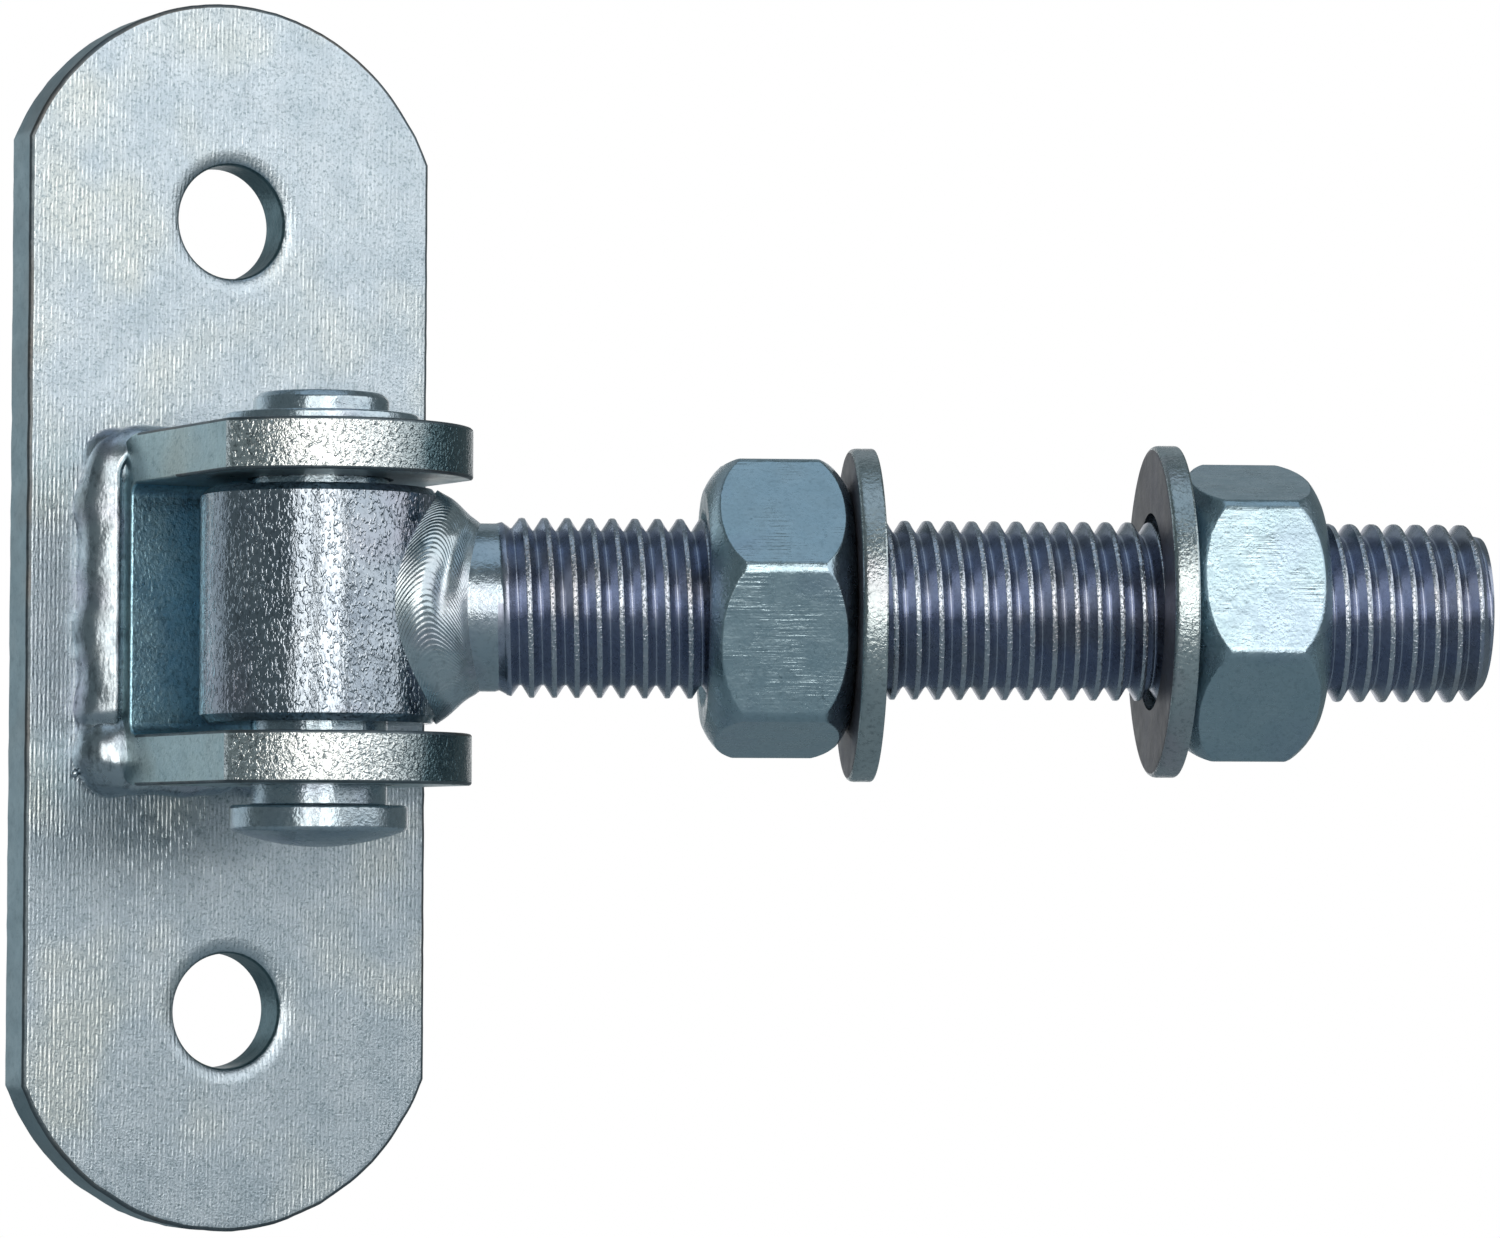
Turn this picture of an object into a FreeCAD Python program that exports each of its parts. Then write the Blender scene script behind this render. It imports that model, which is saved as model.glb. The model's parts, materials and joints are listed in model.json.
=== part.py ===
"""Adjustable gate hinge: a plate with a welded clevis bracket, a headed pin, and a threaded eye bolt with
two nuts and two washers that clamp a gate stile.

Frame: millimetres, +Z up along the hinge pin. The back face of the plate lies in the plane Y = 0 with its
centre at the origin. The plate faces -Y, and the rod reaches out to +X and -Y.
"""
import FreeCAD, Part
import math
import os

from FreeCAD import Vector

# Mounting plate
plate_length = 140.0
plate_width = 50.0
plate_thickness = 5.0
plate_end_radius = 27.0
plate_edge_chamfer = 0.4
bolt_hole_diameter = 13.0
bolt_hole_spacing = 90.0
bolt_hole_rollover = 0.8

# Clevis bracket, folded from flat bar
bar_width = 30.0
bar_thickness = 5.7
bar_edge_chamfer = 0.35
fold_inner_radius = 1.5
ear_gap = 28.0
ear_tip_radius = 16.8

# Hinge pin and its retaining ring
pin_diameter = 15.0
pin_standoff = 23.1
pin_head_diameter = 19.6
pin_head_rim = 2.7
pin_head_dome = 1.9
pin_end_chamfer = 0.7
pin_play = 2.2
pin_end_reach = 2.6
ring_diameter = 21.8
ring_thickness = 1.15
ring_lift = 0.2

# Eye barrel
barrel_diameter = 26.4
barrel_side_play = 1.1
barrel_chamfer = 0.9

# Threaded rod, shank and end
rod_diameter = 20.0
rod_length = 129.4
rod_end_chamfer = 1.6
shank_diameter = 18.6
shank_length = 3.3
rod_rest_angle = 26.0

# Weld collar between barrel and shank, laid in passes
collar_side_cover = 1.3
collar_root_depth = 0.8
collar_reach = 4.5
collar_lip = 0.15
collar_passes = 2
pass_height = 0.25

# Weld beads that hold the bracket to the plate
side_bead_leg = 4.6
wrap_bead_leg = 3.0
bead_bulge = 0.5
bead_end_radius = 4.2
bead_end_tip = 2.6
bead_end_length = 2.4
wrap_depth_share = 0.62
wrap_height_share = 0.08

# Nuts and washers
nut_across_flats = 30.0
inner_nut_height = 16.0
outer_nut_height = 15.4
nut_face_diameter = 27.0
nut_chamfer_angle = 45.0
nut_corner_diameter = 34.0
washer_diameter = 37.0
washer_thickness = 2.8
washer_bore = 22.0
inner_washer_drop = 0.6
inner_nut_start = 42.3
thread_beyond_nut = 18.9
inner_nut_turn = 13.2
outer_nut_turn = -18.3

# Clearances
pin_hole_clearance = 0.2
barrel_bore_clearance = 0.1
ring_bore_clearance = 0.05
nut_thread_clearance = 0.1
nut_seat_gap = 0.05

# Derived places
web_front = plate_thickness + bar_thickness
pin_depth = plate_thickness + pin_standoff
ear_inner = ear_gap / 2.0
ear_outer = ear_inner + bar_thickness
head_top = -(ear_outer + pin_play)
ring_bottom = ear_outer + ring_lift
pin_centre = Vector(0.0, -pin_depth, 0.0)
barrel_height = ear_gap - 2 * barrel_side_play
collar_end = barrel_diameter / 2.0 + collar_reach
shank_end = collar_end + shank_length
inner_washer_start = inner_nut_start + inner_nut_height + nut_seat_gap
outer_nut_start = rod_length - thread_beyond_nut - outer_nut_height
outer_washer_start = outer_nut_start - nut_seat_gap - washer_thickness
overlap = 1.0


def line(start, end):
    """Straight edge between two points."""
    return Part.LineSegment(start, end).toShape()


def arc(start, middle, end):
    """Circular edge through three points."""
    return Part.Arc(start, middle, end).toShape()


def solid_of(edges, sweep):
    """Closed outline of edges, extruded along a vector."""
    return Part.Face(Part.Wire(edges)).extrude(sweep)


def turned(edges, origin, axis):
    """Closed half section of edges, revolved a full turn."""
    return Part.Face(Part.Wire(edges)).revolve(origin, axis, 360)


def cylinder(radius, start, direction, length):
    """Cylinder from a start point along a direction."""
    return Part.makeCylinder(radius, length, start, direction)


def broken(shape, size, wanted):
    """Chamfer the edges that a test picks."""
    edges = [edge for edge in shape.Edges if wanted(edge)]
    return shape.makeChamfer(size, edges)


def is_rim(edge):
    """True for a full circle, which is a closed edge with one vertex."""
    return len(edge.Vertexes) == 1


def on_rod(shape):
    """Turn a piece drawn along +X about the origin into its place on the rod."""
    placed = shape.copy()
    placed.rotate(Vector(0, 0, 0), Vector(0, 0, 1), -rod_rest_angle)
    placed.translate(pin_centre)
    return placed


def bolt_hole_places():
    """Heights of the two bolt holes."""
    return (-bolt_hole_spacing / 2.0, bolt_hole_spacing / 2.0)


def mounting_plate():
    """Flat plate with arc ends and two punched bolt holes, rolled over on the front."""
    half_width = plate_width / 2.0
    half_length = plate_length / 2.0
    end_rise = plate_end_radius - math.sqrt(plate_end_radius ** 2 - half_width ** 2)
    corner = half_length - end_rise
    edges = [
        line(Vector(half_width, 0, -corner), Vector(half_width, 0, corner)),
        arc(Vector(half_width, 0, corner), Vector(0, 0, half_length), Vector(-half_width, 0, corner)),
        line(Vector(-half_width, 0, corner), Vector(-half_width, 0, -corner)),
        arc(Vector(-half_width, 0, -corner), Vector(0, 0, -half_length), Vector(half_width, 0, -corner)),
    ]
    plate = solid_of(edges, Vector(0, -plate_thickness, 0))
    for height in bolt_hole_places():
        start = Vector(0, overlap, height)
        drill = cylinder(bolt_hole_diameter / 2.0, start, Vector(0, -1, 0), plate_thickness + 2 * overlap)
        plate = plate.cut(drill)

    def in_front(edge):
        return edge.BoundBox.YMax < -plate_thickness + 0.01

    def at_hole(edge):
        return in_front(edge) and is_rim(edge)

    def at_outline(edge):
        return in_front(edge) and not is_rim(edge)

    plate = broken(plate, bolt_hole_rollover, at_hole)
    return broken(plate, plate_edge_chamfer, at_outline)


def folded_bar():
    """Flat bar folded twice to a U, as an outline in the YZ plane swept along X."""
    back = -plate_thickness
    front = -web_front
    reach = -(pin_depth + ear_tip_radius + overlap)
    outer_radius = fold_inner_radius + bar_thickness
    outer_mid = outer_radius * (1 - math.sqrt(0.5))
    inner_mid = fold_inner_radius * (1 - math.sqrt(0.5))
    left = -bar_width / 2.0

    def at(depth, height):
        return Vector(left, depth, height)

    edges = [
        line(at(reach, ear_outer), at(back - outer_radius, ear_outer)),
        arc(at(back - outer_radius, ear_outer), at(back - outer_mid, ear_outer - outer_mid),
            at(back, ear_outer - outer_radius)),
        line(at(back, ear_outer - outer_radius), at(back, outer_radius - ear_outer)),
        arc(at(back, outer_radius - ear_outer), at(back - outer_mid, outer_mid - ear_outer),
            at(back - outer_radius, -ear_outer)),
        line(at(back - outer_radius, -ear_outer), at(reach, -ear_outer)),
        line(at(reach, -ear_outer), at(reach, -ear_inner)),
        line(at(reach, -ear_inner), at(front - fold_inner_radius, -ear_inner)),
        arc(at(front - fold_inner_radius, -ear_inner), at(front - inner_mid, inner_mid - ear_inner),
            at(front, fold_inner_radius - ear_inner)),
        line(at(front, fold_inner_radius - ear_inner), at(front, ear_inner - fold_inner_radius)),
        arc(at(front, ear_inner - fold_inner_radius), at(front - inner_mid, ear_inner - inner_mid),
            at(front - fold_inner_radius, ear_inner)),
        line(at(front - fold_inner_radius, ear_inner), at(reach, ear_inner)),
        line(at(reach, ear_inner), at(reach, ear_outer)),
    ]
    return solid_of(edges, Vector(bar_width, 0, 0))


def clevis_bracket():
    """Folded bar with its ears cut to an arc about the pin and drilled for it."""
    half_width = bar_width / 2.0
    corner_reach = pin_depth + math.sqrt(ear_tip_radius ** 2 - half_width ** 2)
    low = -(ear_outer + overlap)
    tip = Vector(0, -(pin_depth + ear_tip_radius), low)
    outline = [
        line(Vector(-half_width, overlap, low), Vector(-half_width, -corner_reach, low)),
        arc(Vector(-half_width, -corner_reach, low), tip, Vector(half_width, -corner_reach, low)),
        line(Vector(half_width, -corner_reach, low), Vector(half_width, overlap, low)),
        line(Vector(half_width, overlap, low), Vector(-half_width, overlap, low)),
    ]
    blank = solid_of(outline, Vector(0, 0, 2 * (ear_outer + overlap)))
    bracket = folded_bar().common(blank)
    bracket = broken(bracket, bar_edge_chamfer, lambda edge: edge.BoundBox.YMax < -pin_depth)
    hole_radius = pin_diameter / 2.0 + pin_hole_clearance
    drill = cylinder(hole_radius, Vector(0, -pin_depth, low), Vector(0, 0, 1), -2 * low)
    return bracket.cut(drill)


def fillet_section(leg_along_plate, leg_off_plate):
    """Convex fillet weld section as local points: root corner, toe on the plate, crown, toe on the bar."""
    crown_out = leg_along_plate / 2.0 + bead_bulge
    crown_up = leg_off_plate / 2.0 + bead_bulge
    return (0.0, 0.0), (leg_along_plate, 0.0), (crown_out, crown_up), (0.0, leg_off_plate)


def side_bead():
    """Run of weld down the left edge of the web, with a tapered crater at each end."""
    edge_x = -bar_width / 2.0
    root, toe, crown, top = fillet_section(side_bead_leg, bar_thickness - bar_edge_chamfer)

    def at(point):
        return Vector(edge_x - point[0], -plate_thickness - point[1], -ear_outer)

    edges = [line(at(root), at(toe)), arc(at(toe), at(crown), at(top)), line(at(top), at(root))]
    run = solid_of(edges, Vector(0, 0, 2 * ear_outer))
    for side in (-1, 1):
        centre = Vector(edge_x, -plate_thickness, side * ear_outer)
        crater = Part.makeCone(bead_end_radius, bead_end_tip, bead_end_length, centre, Vector(0, 0, side))
        outside = Part.makeBox(2 * bead_end_radius, bead_end_radius, 2 * bead_end_radius,
                               centre - Vector(2 * bead_end_radius, bead_end_radius, bead_end_radius))
        run = run.fuse(crater.common(outside))
    return run


def wrap_bead(side):
    """Thinner run that carries the left bead under or over the fold, up to the middle of the web."""
    outer_radius = fold_inner_radius + bar_thickness
    depth = -plate_thickness
    root_height = side * (ear_outer - outer_radius)
    toe_height = side * (ear_outer + wrap_bead_leg / 2.0)
    top_depth = depth - outer_radius * wrap_depth_share
    top_height = side * (ear_outer - outer_radius * wrap_height_share)
    left = -bar_width / 2.0 - overlap / 2.0

    def at(depth_value, height_value):
        return Vector(left, depth_value, height_value)

    crown = at((depth + top_depth) / 2.0 - bead_bulge, (toe_height + top_height) / 2.0 + side * bead_bulge)
    edges = [
        line(at(depth, root_height), at(depth, toe_height)),
        arc(at(depth, toe_height), crown, at(top_depth, top_height)),
        line(at(top_depth, top_height), at(depth, root_height)),
    ]
    return solid_of(edges, Vector(-left, 0, 0))


def bracket_weld_left(bracket):
    """Left weld: the side bead with its wraps under and over the fold, fitted to the bar."""
    bead = side_bead().fuse(wrap_bead(1)).fuse(wrap_bead(-1))
    return bead.cut(bracket).removeSplitter()


def hinge_pin():
    """Headed pin: shaft with a chamfered end above and a domed head below."""
    radius = pin_diameter / 2.0
    head_radius = pin_head_diameter / 2.0
    top = ear_outer + ring_thickness + pin_end_reach
    rim_low = head_top - pin_head_rim
    dome_low = rim_low - pin_head_dome
    dome_radius = (head_radius ** 2 + pin_head_dome ** 2) / (2 * pin_head_dome)
    half = head_radius / 2.0
    dome_mid = dome_low + dome_radius - math.sqrt(dome_radius ** 2 - half ** 2)

    def at(across, height):
        return Vector(across, -pin_depth, height)

    edges = [
        line(at(0, top), at(radius - pin_end_chamfer, top)),
        line(at(radius - pin_end_chamfer, top), at(radius, top - pin_end_chamfer)),
        line(at(radius, top - pin_end_chamfer), at(radius, head_top)),
        line(at(radius, head_top), at(head_radius, head_top)),
        line(at(head_radius, head_top), at(head_radius, rim_low)),
        arc(at(head_radius, rim_low), at(half, dome_mid), at(0, dome_low)),
        line(at(0, dome_low), at(0, top)),
    ]
    return turned(edges, pin_centre, Vector(0, 0, 1))


def pin_retaining_ring():
    """Thin ring pressed on the pin above the upper ear."""
    start = Vector(0, -pin_depth, ring_bottom)
    disc = cylinder(ring_diameter / 2.0, start, Vector(0, 0, 1), ring_thickness)
    bore_radius = pin_diameter / 2.0 + ring_bore_clearance
    through = ring_thickness + 2 * overlap
    bore = cylinder(bore_radius, start - Vector(0, 0, overlap), Vector(0, 0, 1), through)
    return disc.cut(bore)


def eye_barrel():
    """Sleeve on the pin with chamfered ends."""
    start = Vector(0, -pin_depth, -barrel_height / 2.0)
    sleeve = cylinder(barrel_diameter / 2.0, start, Vector(0, 0, 1), barrel_height)
    sleeve = broken(sleeve, barrel_chamfer, is_rim)
    bore_radius = pin_diameter / 2.0 + barrel_bore_clearance
    through = barrel_height + 2 * overlap
    bore = cylinder(bore_radius, start - Vector(0, 0, overlap), Vector(0, 0, 1), through)
    return sleeve.cut(bore)


def threaded_rod():
    """Rod along +X: coped to the barrel, plain shank, thread at its outer diameter, chamfered end."""
    shank_radius = shank_diameter / 2.0
    rod_radius = rod_diameter / 2.0
    thread_start = shank_end + rod_radius - shank_radius
    thread_end = rod_length - rod_end_chamfer
    end_radius = rod_radius - rod_end_chamfer
    edges = [
        line(Vector(0, 0, 0), Vector(0, 0, shank_radius)),
        line(Vector(0, 0, shank_radius), Vector(shank_end, 0, shank_radius)),
        line(Vector(shank_end, 0, shank_radius), Vector(thread_start, 0, rod_radius)),
        line(Vector(thread_start, 0, rod_radius), Vector(thread_end, 0, rod_radius)),
        line(Vector(thread_end, 0, rod_radius), Vector(rod_length, 0, end_radius)),
        line(Vector(rod_length, 0, end_radius), Vector(rod_length, 0, 0)),
        line(Vector(rod_length, 0, 0), Vector(0, 0, 0)),
    ]
    rod = turned(edges, Vector(0, 0, 0), Vector(1, 0, 0))
    return on_rod(rod.cut(barrel_cope()))


def barrel_cope():
    """Cylinder of the barrel's outer diameter that the welded parts are fitted round."""
    height = 2 * barrel_diameter
    return cylinder(barrel_diameter / 2.0, Vector(0, 0, -height / 2.0), Vector(0, 0, 1), height)


def collar_section(place, half_height, half_width):
    """Upright elliptical wire across the rod's axis."""
    ellipse = Part.Ellipse(Vector(0, 0, 0), half_height, half_width)
    wire = Part.Wire([ellipse.toShape()])
    upright = FreeCAD.Rotation(Vector(0, 0, 1), Vector(0, 1, 0), Vector(1, 0, 0), "XYZ")
    wire.Placement = FreeCAD.Placement(Vector(place, 0, 0), upright)
    return wire


def eye_weld():
    """Weld collar along +X: a lofted saddle, tall at the barrel and round at the shank, in raised passes."""
    shank_radius = shank_diameter / 2.0
    half_height = barrel_height / 2.0
    half_width = shank_radius + collar_side_cover
    shoulder = barrel_diameter / 2.0 - collar_root_depth
    run = collar_end - shoulder
    sections = [collar_section(0, half_height, half_width)]
    stations = 2 * collar_passes
    for station in range(stations + 1):
        share = station / stations
        lift = pass_height if station % 2 else 0.0
        height = half_height + (shank_radius + collar_lip - half_height) * share + lift
        width = half_width + (shank_radius + collar_lip - half_width) * share + lift
        sections.append(collar_section(shoulder + run * share, height, width))
    collar = Part.makeLoft(sections, True, True)
    shank = cylinder(shank_radius, Vector(-overlap, 0, 0), Vector(1, 0, 0), collar_end + 2 * overlap)
    return on_rod(collar.cut(shank).cut(barrel_cope()))


def hexagon(across_flats, turn_angle, length):
    """Hexagonal prism along +X with its corners turned from the side that faces away from the plate."""
    corner_radius = across_flats / math.sqrt(3.0)
    corners = []
    for index in range(6):
        angle = math.radians(turn_angle + 60 * index)
        corners.append(Vector(0, -corner_radius * math.cos(angle), corner_radius * math.sin(angle)))
    edges = [line(corners[index], corners[(index + 1) % 6]) for index in range(6)]
    return solid_of(edges, Vector(length, 0, 0))


def hex_nut(start, nut_height, turn_angle):
    """Hexagon nut with both faces chamfered by a cone, as an intersection of a prism and a turned blank."""
    face_radius = nut_face_diameter / 2.0
    corner_radius = nut_corner_diameter / 2.0
    drop = (corner_radius - face_radius) * math.tan(math.radians(nut_chamfer_angle))
    bore_radius = rod_diameter / 2.0 + nut_thread_clearance
    edges = [
        line(Vector(0, 0, bore_radius), Vector(0, 0, face_radius)),
        line(Vector(0, 0, face_radius), Vector(drop, 0, corner_radius)),
        line(Vector(drop, 0, corner_radius), Vector(nut_height - drop, 0, corner_radius)),
        line(Vector(nut_height - drop, 0, corner_radius), Vector(nut_height, 0, face_radius)),
        line(Vector(nut_height, 0, face_radius), Vector(nut_height, 0, bore_radius)),
        line(Vector(nut_height, 0, bore_radius), Vector(0, 0, bore_radius)),
    ]
    blank = turned(edges, Vector(0, 0, 0), Vector(1, 0, 0))
    nut = blank.common(hexagon(nut_across_flats, turn_angle, nut_height))
    nut.translate(Vector(start, 0, 0))
    return on_rod(nut)


def flat_washer(start, drop):
    """Punched washer, hanging low by its drop."""
    disc = cylinder(washer_diameter / 2.0, Vector(start, 0, -drop), Vector(1, 0, 0), washer_thickness)
    through = washer_thickness + 2 * overlap
    bore = cylinder(washer_bore / 2.0, Vector(start - overlap, 0, -drop), Vector(1, 0, 0), through)
    return on_rod(disc.cut(bore))


def build():
    """All pieces of the hinge by name."""
    bracket = clevis_bracket()
    left_weld = bracket_weld_left(bracket)
    pieces = {
        "mounting_plate": mounting_plate(),
        "clevis_bracket": bracket,
        "bracket_weld_left": left_weld,
        "bracket_weld_right": left_weld.mirror(Vector(0, 0, 0), Vector(1, 0, 0)),
        "hinge_pin": hinge_pin(),
        "pin_retaining_ring": pin_retaining_ring(),
        "eye_barrel": eye_barrel(),
        "threaded_rod": threaded_rod(),
        "eye_weld": eye_weld(),
        "inner_nut": hex_nut(inner_nut_start, inner_nut_height, inner_nut_turn),
        "inner_washer": flat_washer(inner_washer_start, inner_washer_drop),
        "outer_washer": flat_washer(outer_washer_start, 0.0),
        "outer_nut": hex_nut(outer_nut_start, outer_nut_height, outer_nut_turn),
    }
    return pieces


os.makedirs("parts", exist_ok=True)
for name, shape in build().items():
    print(name, "valid", shape.isValid(), "solids", len(shape.Solids), "volume", round(shape.Volume, 1))
    shape.exportStep("parts/" + name + ".step")
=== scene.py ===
"""Looks of an adjustable gate hinge in bright zinc plate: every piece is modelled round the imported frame."""

import json
import math

import bmesh
import bpy
from mathutils import Matrix, Vector, noise


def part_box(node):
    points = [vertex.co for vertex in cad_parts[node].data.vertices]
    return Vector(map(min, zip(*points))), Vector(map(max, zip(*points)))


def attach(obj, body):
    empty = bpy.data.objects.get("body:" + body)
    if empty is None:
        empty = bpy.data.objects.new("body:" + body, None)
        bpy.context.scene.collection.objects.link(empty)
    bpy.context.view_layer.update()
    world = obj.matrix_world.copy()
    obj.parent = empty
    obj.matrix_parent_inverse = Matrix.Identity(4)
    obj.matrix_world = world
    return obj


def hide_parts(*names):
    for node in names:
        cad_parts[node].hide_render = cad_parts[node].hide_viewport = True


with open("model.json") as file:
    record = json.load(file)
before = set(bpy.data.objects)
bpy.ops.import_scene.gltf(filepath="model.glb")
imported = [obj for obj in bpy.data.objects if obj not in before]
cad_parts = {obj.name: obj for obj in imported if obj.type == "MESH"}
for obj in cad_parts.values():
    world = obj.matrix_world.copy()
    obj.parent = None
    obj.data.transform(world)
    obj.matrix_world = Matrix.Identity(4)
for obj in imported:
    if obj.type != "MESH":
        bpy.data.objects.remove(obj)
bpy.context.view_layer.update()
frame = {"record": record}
scene = bpy.context.scene
joints = {joint["name"]: joint for joint in frame["record"]["behaviour"]["joints"]}

MM = 0.001
TURN = 2 * math.pi

# Fineness of the meshes
ARC_STEPS = 72
FOLD_STEPS = 12
EAR_ARC_STEPS = 48
PIN_STEPS = 112
TURNED_STEPS = 144
ROUND_STEPS = 4
BOW_STEPS = 8
CLEAN_GAP = 0.001 * MM

# Places taken from the frame
PIN = Vector(joints["gate_swing"]["pos_m"])
ROD_AXIS = Vector(joints["inner_washer_travel"]["axis"])
ROD_FRAME = Matrix.Translation(PIN) @ Matrix.Rotation(math.atan2(ROD_AXIS.y, ROD_AXIS.x), 4, "Z")
PLATE_LOW, PLATE_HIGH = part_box("mounting_plate")
BRACKET_LOW, BRACKET_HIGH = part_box("clevis_bracket")
BARREL_LOW, BARREL_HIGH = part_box("eye_barrel")
PIN_LOW, PIN_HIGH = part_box("hinge_pin")
RING_LOW, RING_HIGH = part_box("pin_retaining_ring")

# Plate
PLATE_FRONT = PLATE_LOW.y
PLATE_HALF_WIDTH = PLATE_HIGH.x
PLATE_HALF_LENGTH = PLATE_HIGH.z
PLATE_END_RADIUS = 27.0 * MM
PLATE_EDGE_ROUND = 0.45 * MM
PLATE_SIDE_CUTS = 70
HOLE_RADIUS = 6.5 * MM
HOLE_HEIGHT = 45.0 * MM
HOLE_ROLLOVER = 2.0 * MM
HOLE_ROLLOVER_DEPTH = 0.50 * MM
# Unevenness of the plate's outline, as pairs of feature size and depth
PLATE_DENTS = ((4.0 * MM, 0.20 * MM), (1.9 * MM, 0.08 * MM))
# Rows of faces in front of the plate's edge, inwards and forwards, as shares of its rounding. Three round it,
# and three lie in the face and carry the draw-in at the holes
PLATE_FRONT_ROWS = ((0.134, 0.5), (0.366, 0.366), (0.5, 0.134), (0.9, 0.0), (1.1, 0.0), (1.4, 0.0))

# Bracket
BAR_THICKNESS = 5.7 * MM
BAR_EDGE_ROUND = 0.35 * MM
FOLD_RADIUS = 1.5 * MM
EAR_TIP_RADIUS = 16.8 * MM
EAR_OUTER = BRACKET_HIGH.z
EAR_INNER = EAR_OUTER - BAR_THICKNESS
PIN_HOLE_RADIUS = 7.7 * MM

# Pin and its ring
PIN_RADIUS = 7.5 * MM
PIN_CHAMFER = 0.7 * MM
PIN_HEAD_PLAY = 2.2 * MM
PIN_HEAD_RIM = 2.7 * MM
RING_BORE = 7.52 * MM

# Barrel, shank and thread
BARREL_RADIUS = BARREL_HIGH.x
BARREL_HALF = BARREL_HIGH.z
BARREL_CHAMFER = 0.85 * MM
BARREL_BORE = 7.6 * MM
SHANK_RADIUS = 9.3 * MM
SHANK_START = BARREL_RADIUS - 3.8 * MM
SHANK_END = 19.3 * MM
ROD_END = 129.4 * MM
THREAD_PITCH = 2.5 * MM
THREAD_CREST = 9.96 * MM
THREAD_ROOT = 8.55 * MM
THREAD_PHASE = 22.12 * MM
THREAD_STEPS = 72
THREAD_FADE = 2.4 * MM
END_CHAMFER = 1.5 * MM

# Welds
BEAD_CORNER = 3.2 * MM
BEAD_LEVEL = EAR_OUTER - 1.7 * MM
BEAD_CROWN = 4.6 * MM
BEAD_LEAN = math.radians(56)
BEAD_TOE = 4.2 * MM
BEAD_SHARPNESS = 7
BEAD_GROOVE = 1.7 * MM
BEAD_GROOVE_SPAN = 0.14
BEAD_FOOT = 1.2 * MM
BEAD_OVERRUN = 0.5 * MM
BEAD_DIP_LEVEL = -13.0 * MM
BEAD_DIP_LENGTH = 0.9 * MM
BEAD_DIP_DEPTH = 0.9 * MM
# Crater at the bead's low end, lump at its start and one spatter, all in mm: place from the foot of the web's
# left edge, radius, feature size and height of the unevenness
BEAD_LUMPS = (((0.5, -0.7, -16.0), 5.0, 3.0, 0.3),
              ((0.8, -0.4, 16.4), 4.3, 3.0, 0.4),
              ((-4.2, -0.35, -18.3), 0.45, 1.0, 0.0))
LUMP_FLATNESS = 0.92
WRAP_RADIUS = 2.9 * MM
WRAP_DEPTH = 1.9 * MM
COLLAR_HALF_HEIGHT = 12.9 * MM
COLLAR_HALF_WIDTH = 10.2 * MM
COLLAR_SINK = 0.35 * MM
COLLAR_END_RADIUS = SHANK_RADIUS - 0.1 * MM
COLLAR_LENGTH = 9 * MM
COLLAR_ROWS = 40
COLLAR_STEPS = 160

# Nuts and washers
NUT_FLATS = 30.0 * MM
NUT_BLANK = 34.8 * MM
NUT_FACE = 26.2 * MM
NUT_CHAMFER_REACH = 4.36 * MM
NUT_CHAMFER_BULGE = 0.62 * MM
NUT_BORE = 10.05 * MM
NUT_SINK = 1.0 * MM
NUT_RIDGE_ROUND = 0.9 * MM
NUT_EDGE_ROUND = 0.15 * MM
NUT_SLIVER = 0.18 * MM
INNER_NUT_HEIGHT = 16.0 * MM
OUTER_NUT_HEIGHT = 15.4 * MM
INNER_TURN = math.radians(13.2)
OUTER_TURN = math.radians(-18.3)
WASHER_RADIUS = 18.5 * MM
WASHER_BORE = 11.0 * MM
WASHER_THICKNESS = 2.8 * MM
WASHER_ROLLOVER = 0.8 * MM
WASHER_BURR = 0.3 * MM
WASHER_BORE_ROUND = 0.35 * MM


def station(node):
    """Distance of a node's middle from the pin, along the rod."""
    low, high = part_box(node)
    return ((low + high) / 2 - PIN).dot(ROD_AXIS)


def drop(node):
    """Height of a node's middle above the rod's axis."""
    low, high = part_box(node)
    return (low.z + high.z) / 2


def wobble(point, size, depth):
    """Smooth random height for a point, with a feature size and a depth in metres."""
    return noise.noise(point / size) * depth


# Mesh helpers


def of_kind(items, kind):
    """Items of one kind, such as the vertices that an operator gives back."""
    return [item for item in items if isinstance(item, kind)]


def chain(mesh, points):
    """Vertices joined by edges in a row."""
    verts = [mesh.verts.new(point) for point in points]
    for first, second in zip(verts, verts[1:]):
        mesh.edges.new((first, second))
    return verts


def swept_arc(mesh, start, centre, axis, angle, steps):
    """Chain of edges swung round a centre: returns its first and last vertices."""
    first = mesh.verts.new(start)
    swung = bmesh.ops.spin(mesh, geom=[first], cent=centre, axis=axis, angle=angle, steps=steps,
                           use_merge=False, use_duplicate=False)
    return first, of_kind(swung["geom_last"], bmesh.types.BMVert)[0]


def turned(points, steps, axis):
    """Closed body: a half section in the XZ plane, swung a full turn about an axis through the origin."""
    mesh = bmesh.new()
    chain(mesh, points)
    bmesh.ops.spin(mesh, geom=mesh.verts[:] + mesh.edges[:], cent=(0, 0, 0), axis=axis, angle=TURN,
                   steps=steps, use_merge=True, use_duplicate=False)
    bmesh.ops.remove_doubles(mesh, verts=mesh.verts, dist=CLEAN_GAP)
    bmesh.ops.recalc_face_normals(mesh, faces=mesh.faces)
    return mesh


def grow(mesh, way):
    """Closed body from a flat outline: filled, then grown by a vector."""
    bmesh.ops.contextual_create(mesh, geom=mesh.edges[:])
    grown = bmesh.ops.extrude_face_region(mesh, geom=mesh.faces[:])
    bmesh.ops.translate(mesh, verts=of_kind(grown["geom"], bmesh.types.BMVert), vec=way)
    bmesh.ops.recalc_face_normals(mesh, faces=mesh.faces)


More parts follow.
